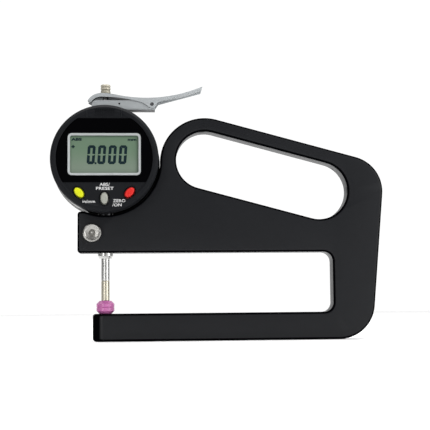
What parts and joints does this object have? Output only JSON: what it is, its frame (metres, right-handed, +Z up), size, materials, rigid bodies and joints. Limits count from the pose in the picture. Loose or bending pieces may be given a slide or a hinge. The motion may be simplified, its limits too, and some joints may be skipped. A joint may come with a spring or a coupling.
{
  "type": "digital thickness gauge",
  "caption": "Digital thickness gauge with a deep C frame, a round display head, a spindle with ceramic discs, a lifting lever and a grip hole.",
  "frame": {"origin": "on the spindle axis and in the middle of the plate's thickness, at the underside of the lower arm", "axes": "+Z up along the spindle; +X from the spindle into the throat, towards the grip; +Y from the display to the back cover"},
  "size_m": [0.1764, 0.0261, 0.1361],
  "materials": {
    "frame_black": "black anodised, satin",
    "black_plastic": "moulded, fine grain",
    "window_black": "polished",
    "trim_silver": "satin",
    "display_green": "reflective LCD behind clear film",
    "key_yellow": "moulded",
    "key_grey": "moulded",
    "key_red": "moulded",
    "pad_rubber": "silicone",
    "case_metal": "cast and lacquered",
    "steel": "ground",
    "shank_steel": "ground, slightly yellow",
    "screw_steel": "turned",
    "cap_brass": "pale, nickel washed",
    "pink_ceramic": "ground and polished",
    "sheet_steel": "satin sheet",
    "board_green": "solder mask",
    "scale_glass": "coated glass scale",
    "spring_steel": "drawn wire"
  },
  "bodies": {
    "gauge": {"frame": "frame_black", "clamp_screw": "screw_steel", "anvil_disc": "pink_ceramic", "stem_bush": "steel", "upper_bush": "steel", "gauge_case": "case_metal", "back_cover": "case_metal", "case_screws": "screw_steel", "front_bezel": "black_plastic", "window_panel": "window_black", "display_trim": "trim_silver", "display_module": "display_green", "key_pad": "pad_rubber", "main_board": "board_green", "coin_cell": "steel", "battery_contacts": "steel", "battery_cover": "black_plastic", "lever_bracket": "sheet_steel", "pivot_pin": "steel", "spacer_rivet": "steel"},
    "spindle_set": {"spindle": "steel", "contact_shank": "shank_steel", "contact_disc": "pink_ceramic", "spindle_cap": "cap_brass", "scale_carrier": "case_metal", "scale_strip": "scale_glass", "guide_pin": "steel", "return_spring": "spring_steel"},
    "lever": {"lift_lever": "sheet_steel"},
    "left_key": {"key_left": "key_yellow"},
    "middle_key": {"key_middle": "key_grey"},
    "right_key": {"key_right": "key_red"}
  },
  "joints": [
    {"name": "lever_hinge", "type": "hinge", "parent": "gauge", "child": "lever", "pos_m": [0.0247, 0, 0.125], "axis": [0, 1, 0], "range_deg": [0, 21]},
    {"name": "spindle_slide", "type": "slide", "parent": "gauge", "child": "spindle_set", "axis": [0, 0, 1], "range_m": [0, 0.01], "stiffness_N_per_m": 130, "springref_m": -0.008, "deforming": ["return_spring"]},
    {"name": "left_key_press", "type": "slide", "parent": "gauge", "child": "left_key", "axis": [0, 1, 0], "range_m": [0, 0.0006], "stiffness_N_per_m": 1500, "springref_m": -0.0006},
    {"name": "middle_key_press", "type": "slide", "parent": "gauge", "child": "middle_key", "axis": [0, 1, 0], "range_m": [0, 0.0006], "stiffness_N_per_m": 1500, "springref_m": -0.0006},
    {"name": "right_key_press", "type": "slide", "parent": "gauge", "child": "right_key", "axis": [0, 1, 0], "range_m": [0, 0.0006], "stiffness_N_per_m": 1500, "springref_m": -0.0006}
  ],
  "couplings": [
    {"joint": "lever_hinge", "follows": "spindle_slide", "rad_per_m": 36.652}
  ]
}
